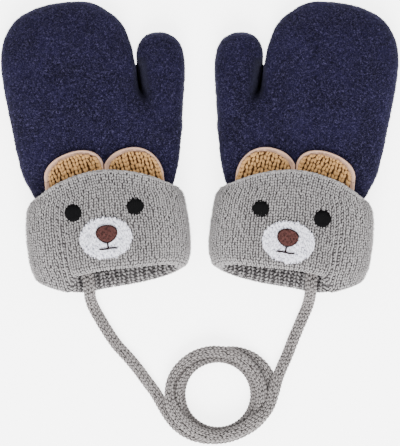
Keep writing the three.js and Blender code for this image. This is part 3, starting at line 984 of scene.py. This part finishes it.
def makeCuffCore(side):
    corners = 160
    wales = np.arange(corners) / corners * cuff["wales"]
    turn = angleOf(wales)
    outside = np.concatenate([np.linspace(0.01, 1, 26), np.linspace(1, 2, 13)[1:], np.linspace(2, 3, 18)[1:]])
    rows = np.interp(outside, [0, 1, 2, 3], rowMarks)
    outer = [knitSurface(wales, row + 0 * wales, cuff["relief"]) for row in rows]
    end = [cuffPoint(turn, 3 + 0 * turn, cuff["ribWall"] - 0.2)]
    under = [cuffPoint(turn, place + 0 * turn, cuff["ribWall"] - 0.1) for place in np.linspace(3, 2.02, 12)]
    turnUp = [cuffPoint(turn, place + 0 * turn, cuff["turnUpWall"] - 0.1) for place in np.linspace(0.98, 0.02, 20)]
    rounded = [cuffPoint(turn, -0.012 + 0 * turn, depth) for depth in (2.2, 1.5, 0.9)]
    rings = np.stack(outer + end + under + turnUp + rounded)
    faces = tubeFaces(len(rings), corners, closed=True)
    faces = [face[::-1] for face in faces]
    return makePiece(f"{side}CuffCore", rings.reshape(-1, 3), faces, "greyKnitBase", side)


# The bound-off edge: short strands along the hem, and over its thickness
def hemEdge(random):
    wale = np.arange(cuff["wales"])[:, None] + np.linspace(-0.75, 0.75, 5)
    row = 0.2 + random.normal(0, 0.13, wale.shape[0])[:, None] + 0 * wale
    points = knitSurface(wale, row)
    middle = np.stack([cuff["middle"] + 0 * wale, points[..., 1], 10 + 0 * wale], axis=-1)
    paths, normals = [points], [unit(points - middle)]
    for depth in (0.6, 1.3, 2.0):
        end = cuffPoint(angleOf(wale + depth * 0.3), -0.004 + 0 * wale, depth)
        paths.append(end + random.normal(0, 0.08, (len(wale), 1, 3)))
        normals.append(np.broadcast_to(np.array([0.0, 1.0, 0.0]), end.shape))
    return np.concatenate(paths), np.concatenate(normals)


# Painted light: the yarn is painted paler at the cuff's sides, along its fold and at its hem, where its fuzz fibres
# also gather
def paintedLightAndFuzz(paths):
    middle = paths[:, paths.shape[1] // 2]
    across = np.abs(middle[:, 0] - cuff["middle"]) / cuff["half"]
    high = np.clip(middle[:, 2] / 20, 0, 1)
    hem = np.exp(-(((middle[:, 1] - hemLine(middle[:, 0])) / 2.5) ** 2)) * high
    low = np.exp(-(((middle[:, 1] - 8) / 6) ** 2))
    return -0.38 * smoothStep(0.55, 1.0, across) - 0.28 * hem - 0.12 * low


# Columns of wide stitches on the ribs, and purl stitches in the valleys between them, painted darker as painted
# shade
def ribStitches(firstRow, random):
    perRib = cuff["wales"] / cuff["ribs"]
    surface = lambda rib, row: knitSurface(rib * perRib, row)
    stitch = {"points": 5, "foot": 0.06, "shoulder": 0.33, "reach": 1.4, "rise": 0.6,
              "tuck": 0.38, "uneven": 0.035}
    rows = firstRow + np.arange(cuff["foldRows"] - 3 + cuff["shownRibRows"]) + 0.4
    rib, row = np.meshgrid(np.arange(cuff["ribs"]), rows, indexing="ij")
    legs, normals = stitchLegs(surface, rib.ravel(), row.ravel(), stitch, random)
    across = np.linspace(0.28, 0.72, 5)
    ribs = rib.ravel()[:, None] + across
    purl = surface(ribs, row.ravel()[:, None] + 0.25 * np.sin((across - 0.28) / 0.44 * np.pi))
    middle = np.stack([cuff["middle"] + 0 * ribs, purl[..., 1], 10 + 0 * ribs], axis=-1)
    # Painted shade: the purl stitches in the valleys are darkened
    shade = np.concatenate([np.full(len(legs), 0.0), np.full(len(purl), 0.32)])
    return np.concatenate([legs, purl]), np.concatenate([normals, unit(middle - purl)]), shade


# Short pale fibres over the turned-up layer, most of them at its sides, its fold and its hem
def makeFuzz(side, random):
    count = cuff["fibres"] * 3
    wale = random.uniform(0, cuff["wales"], count)
    row = random.uniform(0, cuff["hemRows"] + 4, count)
    near = knitSurface(wale, row)
    likely = 0.1 - paintedLightAndFuzz(near[:, None]) * 2.4
    kept = random.random(count) < likely
    wale, row = wale[kept][:cuff["fibres"], None], row[kept][:cuff["fibres"], None]
    heading = random.uniform(0, 2 * np.pi, wale.shape)
    length = random.uniform(0.9, 2.0, wale.shape)
    share = np.array([-0.5, 0.0, 0.5])
    w = wale + np.cos(heading) * length * share / 2.3
    r = np.clip(row + np.sin(heading) * length * share / 1.35, -0.55, None)
    points = knitSurface(w, r)
    middle = np.stack([cuff["middle"] + 0 * w, points[..., 1], 10 + 0 * w], axis=-1)
    outward = unit(points - middle)
    lift = random.uniform(0.35, 0.8, wale.shape) + random.uniform(-0.1, 0.5, wale.shape) * (share + 0.5)
    return strandPiece(f"{side}CuffFuzz", points + outward * lift[..., None], outward, 0.075, 0.06, 3,
                       (1.0,), "greyKnit", side, random, -0.2)


def makeCuff(side, seed):
    random = np.random.default_rng(seed)
    core = makeCuffCore(side)
    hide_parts(f"{side}_cuff")
    stitch = {"points": 5, "foot": 0.10, "shoulder": 0.42, "reach": 1.5, "rise": 0.6,
              "tuck": 0.38, "uneven": 0.06}
    rows = cuff["hemRows"] + 3
    wale, row = np.meshgrid(np.arange(cuff["wales"]), np.arange(rows) + 0.6, indexing="ij")
    paths, normals = stitchLegs(knitSurface, wale.ravel(), row.ravel(), stitch, random)
    edge = hemEdge(random)
    paths, normals = np.concatenate([paths, edge[0]]), np.concatenate([normals, edge[1]])
    width = 0.50 * (1 + 0.09 * random.normal(size=len(paths)))
    # The turned-up layer's strands get painted light at the cuff's sides, fold and hem
    turnUp = strandPiece(f"{side}TurnUpKnit", paths, normals, width, 0.42, 4, spindle, "greyKnit", side,
                         random, paintedLightAndFuzz(paths))
    ribs, ribNormals, shade = ribStitches(rows, random)
    width = 0.62 * (1 + 0.09 * random.normal(size=len(ribs)))
    rib = strandPiece(f"{side}RibKnit", ribs, ribNormals, width, 0.45, 4, spindle, "greyKnit", side,
                      random, shade)
    fuzz = makeFuzz(side, random)


for number, side in enumerate(sides):
    makeCuff(side, 31 + number)
print("cuffs made")


# The ears: a coarse knitted front in a plain rolled backing
# The last two entries are each piece's cut: its width and length, and its area, in metres
ears = {
    "outer": {"u": -9.7, "v": 56.5, "halfU": 14.5, "halfV": 10.0, "tilt": math.radians(14), "side": -1,
              "back": (0.0286, 0.0208, 0.00038), "front": (0.0261, 0.0189, 0.000314)},
    "inner": {"u": 17.7, "v": 50.5, "halfU": 14.5, "halfV": 15.4, "tilt": math.radians(9), "side": 1,
              "back": (0.0285, 0.0173, 0.00035), "front": (0.026, 0.0157, 0.000286)},
}
ear = {
    "fullness": 2.2,
    "cleft": 4.6,
    "rim": 1.5,
    "frontShift": (0.65, -0.55),
    "roll": 0.95,
    "tuck": 3.0,
    "lift": 0.3,
    "wale": 3.4,
    "row": 2.1,
    "knitLift": 2.05,
}


def earFloor(u):
    away = np.clip(np.abs(u - cuff["middle"]) / cuff["half"], 0, 1)
    return hemLine(u) + 0.3 - ear["tuck"] * (1 - away**3)


# The ear's edge: the upper half of a tilted oval, then straight down its sides to its tucked edge
def earEdge(shape, turn, inward):
    across, up = directionOf(np.minimum(turn, np.pi), ear["fullness"])
    x, y = (shape["halfU"] - inward) * across, (shape["halfV"] - inward) * up
    cosine, sine = math.cos(shape["tilt"]), math.sin(shape["tilt"])
    u = shape["u"] + x * cosine - y * sine
    v = shape["v"] + x * sine + y * cosine
    back = np.clip((turn - np.pi) / np.pi, 0, 1)
    u = np.where(turn > np.pi, mixed(u.min(), u.max(), np.clip(back * 1.3 - 0.15, 0, 1)), u)
    side = np.clip(np.abs(back - 0.5) * 1.3 / 0.15 - 3.333, 0, 1)
    ends = np.where(back < 0.5, v[np.argmin(u)], v[np.argmax(u)])
    floor = earFloor(u) + inward * 0.3
    v = np.where(turn > np.pi, mixed(floor, np.maximum(ends, floor), side), v)
    fromCleft = (u - ear["cleft"]) * shape["side"]
    nearest = 0.15 + inward + shape["side"] * shape.get("shifted", 0.0)
    u = ear["cleft"] + np.maximum(fromCleft, nearest) * shape["side"]
    return u, np.maximum(v, floor)


# A plate over the hand's top, from its middle out, its height read from how near its edge it is
def earPlate(name, shape, inward, profile, material, side):
    corners = 90
    turn = np.arange(corners) / corners * 2 * np.pi
    edgeU, edgeV = earEdge(shape, turn, inward)
    middleU, middleV = edgeU.mean(), (edgeV.max() + edgeV.min()) / 2
    rings = [
        onTop(handTable, form["handFullness"], mixed(middleU, edgeU, share), mixed(middleV, edgeV, share), lift)
        for share, lift in profile
    ]
    start = rings[0].mean(axis=0)
    end = rings[-1].mean(axis=0)
    points, faces = closedTube(np.stack(rings), start, end)
    faces = [face[::-1] for face in faces]
    return makePiece(name, points, faces, material, side)


def makeEar(side, which, seed):
    shape = ears[which]
    shiftU, shiftV = ear["frontShift"]
    overBacking = dict(shape, u=shape["u"] + shiftU, v=shape["v"] + shiftV, shifted=shiftU)
    random = np.random.default_rng(seed)
    low, roll = ear["lift"], ear["roll"]
    backing = [(0.4, low), (0.9, low), (0.96, low + 0.05), (0.99, low + 0.4 * roll), (1.0, low + roll),
               (0.985, low + 1.6 * roll), (0.955, low + 1.95 * roll), (0.92, low + 1.8 * roll),
               (0.89, low + 1.2 * roll), (0.8, low + 0.9), (0.4, low + 0.9)]
    back = earPlate(f"{side}{which.title()}EarBacking", shape, 0, backing, "beigeBackingBase", side)
    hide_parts(f"{side}_{which}_ear_back")
    top = ear["knitLift"] - 0.45
    filling = [(0.4, low + 1.0), (0.95, low + 1.0), (1.0, low + 1.2), (0.97, top - 0.1), (0.85, top), (0.4, top)]
    front = earPlate(
        f"{side}{which.title()}EarCore", overBacking, ear["rim"], filling, "tanKnitBase", side)
    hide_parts(f"{side}_{which}_ear_front")

    cosine, sine = math.cos(shape["tilt"]), math.sin(shape["tilt"])
    cleftRim = ear["rim"] + shape["side"] * shiftU
    reachX, reachY = (shape[half] - ear["rim"] for half in ("halfU", "halfV"))

    # The outermost stitches are squeezed in along the rim and the cleft
    def surface(w, r):
        x, y = w * ear["wale"], r * ear["row"]
        full = ear["fullness"]
        out = (np.abs(x / reachX) ** full + np.abs(np.maximum(y, 0) / reachY) ** full) ** (1 / full)
        squeezed = np.where(out > 0.88, 0.88 + 0.1 * (1 - np.exp((0.88 - out) / 0.1)), out)
        share = squeezed / np.maximum(out, 0.01)
        x, y = x * share, y * share
        u = overBacking["u"] + x * cosine - y * sine
        v = overBacking["v"] + x * sine + y * cosine
        near = (u - ear["cleft"]) * shape["side"] - cleftRim - 0.5
        u = u + np.where(near < 1, np.exp(np.minimum(near, 1) - 1) - near, 0) * shape["side"]
        return onTop(handTable, form["handFullness"], u, v, ear["knitLift"])

    wale, row = np.meshgrid(np.arange(-6, 7) + 0.5, np.arange(-7, 9), indexing="ij")
    wale, row = wale.ravel(), row.ravel()
    x, y = wale * ear["wale"], row * ear["row"]
    u, v = overBacking["u"] + x * cosine - y * sine, overBacking["v"] + x * sine + y * cosine
    out = np.abs(x / reachX) ** ear["fullness"] + np.abs(np.maximum(y, 0) / reachY) ** ear["fullness"]
    inside = (out < 1.22) & (v > earFloor(u) + 0.9) & ((u - ear["cleft"]) * shape["side"] > cleftRim - 0.3)
    stitch = {"points": 6, "foot": 0.10, "shoulder": 0.38, "reach": -1.55, "rise": 0.8,
              "tuck": 0.5, "uneven": 0.06}
    paths, normals = stitchLegs(surface, wale[inside], row[inside], stitch, random)
    width = 0.70 * (1 + 0.12 * random.normal(size=len(paths)))
    knit = strandPiece(f"{side}{which.title()}EarKnit", paths, normals, width, 0.55, 8,
                       (0.72, 0.98, 0.98, 0.72), "tanKnit", side, random)


for number, side in enumerate(sides):
    for offset, which in enumerate(ears):
        makeEar(side, which, 41 + 2 * number + offset)
print("ears made")


# The embroidered face on the turned-up layer
face = {
    "middle": 2.9,
    "eye": {"u": 14.7, "v": 37.7, "halfU": 4.0, "halfV": 4.25, "squareness": 2.0, "pull": 0.0},
    "muzzle": {"u": 2.3, "v": 24.4, "halfU": 12.4, "halfV": 9.8, "squareness": 2.1, "pull": 0.0},
    "nose": {"u": 2.9, "v": 26.3, "halfU": 5.0, "halfV": 4.2, "squareness": 2.3, "pull": 0.16},
    "mouth": {"v": 19.4, "half": 4.7, "stem": 2.9},
    "thread": 0.42,
    "pivot": (2.7, 26.0),
    # How far each side's face is moved in u and v, and turned about the pivot
    "shifts": {"left": (0.0, 0.0, 0.0), "right": (2.15, -2.1, math.radians(3.1))},
}
sewnOn = {"side": "left"}


# The cuff's top under a point of the face, which is given before the face is moved
def faceTop(u, v, lift):
    shiftU, shiftV, turn = face["shifts"][sewnOn["side"]]
    u, v = np.broadcast_arrays(np.asarray(u, float) - face["pivot"][0], np.asarray(v, float) - face["pivot"][1])
    movedU = face["pivot"][0] + u * math.cos(turn) - v * math.sin(turn) + shiftU
    movedV = face["pivot"][1] + u * math.sin(turn) + v * math.cos(turn) + shiftV
    return onTop(cuffTable, form["cuffFullness"], movedU, movedV, lift)


# Pull narrows an oval's lower part
def ovalPad(name, oval, centre, lift, height, material, side):
    corners = 64
    turn = -np.arange(corners) / corners * 2 * np.pi
    rings = []
    for share, rise in ((0.5, 0.0), (0.95, 0.0), (1.0, 0.35), (0.94, 0.8), (0.75, 0.96), (0.4, 1.0)):
        y = np.sin(turn) * share
        x = np.cos(turn) * share * oval["halfU"] * (1 + oval["pull"] * y)
        rings.append(faceTop(centre + x, oval["v"] + y * oval["halfV"], lift + height * rise))
    points, faces = closedTube(np.stack(rings), rings[0].mean(axis=0), rings[-1].mean(axis=0))
    faces = [list(f) for f in faces]
    blank = np.zeros(len(points))
    # The pad, seen between the threads, is painted mostly in the thread's gap colour, as painted shade
    return makePiece(name, points, faces, material, side, {"crown": blank + 0.35, "tone": blank})


# Parallel threads that fill an oval, in rows of staggered stitches, running up and down
def fillStitches(oval, centre, lift, stitchLength, random, ragged=0.1):
    paths = []
    overlap = 0.4
    columns = int(2 * oval["halfU"] / face["thread"])
    for column in range(columns):
        x = (column + 0.5) / columns * 2 - 1
        power = oval["squareness"]
        reach = oval["halfV"] * (1 - abs(x) ** power) ** (1 / power)
        low, high = oval["v"] - reach, oval["v"] + reach
        if oval["pull"]:
            low += reach * oval["pull"] * 1.6 * abs(x) ** 1.5
        low, high = low + random.normal(0, ragged), high + random.normal(0, ragged)
        first = low - stitchLength * random.random() if stitchLength < 2 * reach else low
        step = stitchLength if stitchLength < 2 * reach else high - low + 0.01
        while first < high - 0.1:
            start, end = max(first - overlap, low), min(first + step + overlap, high)
            if end - start > 0.5:
                v = np.linspace(start, end, 6)
                u = centre + x * oval["halfU"] + np.linspace(-0.05, 0.05, 6) * random.normal()
                arch = lift + 0.12 * np.sin(np.linspace(0, np.pi, 6)) - 0.06
                paths.append(faceTop(u, v, arch))
            first += step
    return np.array(paths)


def threadPiece(name, paths, halfWidth, material, side, random):
    ahead = unit(np.gradient(paths, axis=1))
    up = unit(np.array([0, 0, 1.0]) - ahead * ahead[..., 2:])
    sizes = np.array([0.85] + [1.0] * (paths.shape[1] - 4) + [0.85])
    return strandPiece(name, paths, up, halfWidth, halfWidth * 0.8, 6, sizes, material, side, random)


# Short threads that lie across an outline
def borderStitches(oval, centre, lift, width, pitch):
    turn = np.linspace(0, 2 * np.pi, 721)
    y = np.sin(turn)
    x = np.cos(turn) * oval["halfU"] * (1 + oval["pull"] * y)
    walked = np.concatenate([[0], np.cumsum(np.hypot(np.diff(x), np.diff(y * oval["halfV"])))])
    count = int(walked[-1] / pitch)
    at = np.interp(np.arange(count) / count * walked[-1], walked, turn)
    paths = []
    for share in np.linspace(1 - width / oval["halfV"], 1.0 + 0.2 / oval["halfV"], 5):
        y = np.sin(at) * share
        x = np.cos(at) * share * oval["halfU"] * (1 + oval["pull"] * y)
        paths.append(faceTop(centre + x, oval["v"] + y * oval["halfV"], lift))
    return np.stack(paths, axis=1)


def makeFace(side, seed):
    random = np.random.default_rng(seed)
    sewnOn["side"] = side
    onKnit = 0.05
    for which, direction in (("outer", -1), ("inner", 1)):
        centre = face["middle"] + direction * face["eye"]["u"]
        name = f"{side}{which.title()}Eye"
        pad = ovalPad(name + "Pad", face["eye"], centre, onKnit, 0.75, "blackThread", side)
        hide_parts(f"{side}_{which}_eye")
        threads = fillStitches(face["eye"], centre, 0.85, 20.0, random)
        threadPiece(name + "Thread", threads, 0.26, "blackThread", side, random)
    muzzle, nose, mouth = face["muzzle"], face["nose"], face["mouth"]
    pad = ovalPad(f"{side}MuzzlePad", muzzle, muzzle["u"], onKnit, 0.75, "whiteThread", side)
    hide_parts(f"{side}_muzzle")
    threads = fillStitches(muzzle, muzzle["u"], 0.85, 2.2, random, 0.5)
    threadPiece(f"{side}MuzzleThread", threads, 0.27, "whiteThread", side, random)
    pad = ovalPad(f"{side}NosePad", nose, nose["u"], 0.85, 0.55, "brownThread", side)
    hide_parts(f"{side}_nose")
    threads = fillStitches(nose, nose["u"], 1.45, 2.6, random)
    threadPiece(f"{side}NoseThread", threads, 0.25, "brownThread", side, random)
    border = borderStitches(nose, nose["u"], 1.5, 0.75, 0.4)
    threadPiece(f"{side}NoseBorder", border, 0.24, "darkThread", side, random)
    u = np.linspace(nose["u"] - mouth["half"], nose["u"] + mouth["half"], 14)
    v = np.linspace(mouth["v"], mouth["v"] + mouth["stem"], 14)
    wave = 0.12 * np.sin((u - nose["u"]) * 0.9)
    lines = [faceTop(u, mouth["v"] + wave, 1.4), faceTop(nose["u"] + 0 * v, v, 1.4)]
    threadPiece(f"{side}Mouth", np.array(lines), 0.4, "darkThread", side, random)


for number, side in enumerate(sides):
    makeFace(side, 51 + number)
print("faces made")


# The plain pale floor and the studio's light
studio = {
    "floor": seen(250, 250, 250),
    "world": (1.0, 1.0, 1.0, 1.0),
    "worldStrength": 1.15,
    "floorGlow": 4.0,
    "lamps": [
        {"at": (0.0, -0.95, 0.75), "size": 0.8, "watts": 34.0},
        {"at": (-0.6, 0.5, 1.1), "size": 1.1, "watts": 7.0},
        {"at": (0.6, 0.5, 1.1), "size": 1.1, "watts": 7.0},
    ],
}


def makeStudio():
    size = 3.0
    mesh = bpy.data.meshes.new("floor")
    mesh.from_pydata([(-size, -size, 0), (size, -size, 0), (size, size, 0), (-size, size, 0)], [], [(0, 1, 2, 3)])
    floor = bpy.data.objects.new("floor", mesh)
    paint = Paint("floor")
    inputs = {
        "Base Color": studio["floor"],
        "Roughness": 0.9,
        "Emission Color": studio["floor"],
        "Emission Strength": studio["floorGlow"],
    }
    surface = paint.out(paint.node("ShaderNodeBsdfPrincipled", {}, inputs), "BSDF")
    paint.node("ShaderNodeOutputMaterial", {}, {"Surface": surface})
    mesh.materials.append(paint.material)
    bpy.context.collection.objects.link(floor)
    for number, lamp in enumerate(studio["lamps"]):
        light = bpy.data.lights.new(f"lamp{number}", "AREA")
        light.shape = "DISK"
        light.size = lamp["size"]
        light.energy = lamp["watts"]
        holder = bpy.data.objects.new(f"lamp{number}", light)
        holder.location = lamp["at"]
        toMittens = Vector((0, -0.03, 0)) - holder.location
        holder.rotation_euler = toMittens.to_track_quat("-Z", "Y").to_euler()
        bpy.context.collection.objects.link(holder)
    world = bpy.data.worlds.new("studio")
    world.use_nodes = True
    background = world.node_tree.nodes["Background"]
    background.inputs["Color"].default_value = studio["world"]
    background.inputs["Strength"].default_value = studio["worldStrength"]
    bpy.context.scene.world = world


makeStudio()
print("studio made")

dressed = [piece for piece in bpy.data.objects if piece.type == "MESH" and piece.name != "floor"]
counts = {piece.name: sum(len(face.vertices) - 2 for face in piece.data.polygons) for piece in dressed}
print("triangles", sum(counts.values()), sorted(counts.items(), key=lambda item: -item[1])[:8])
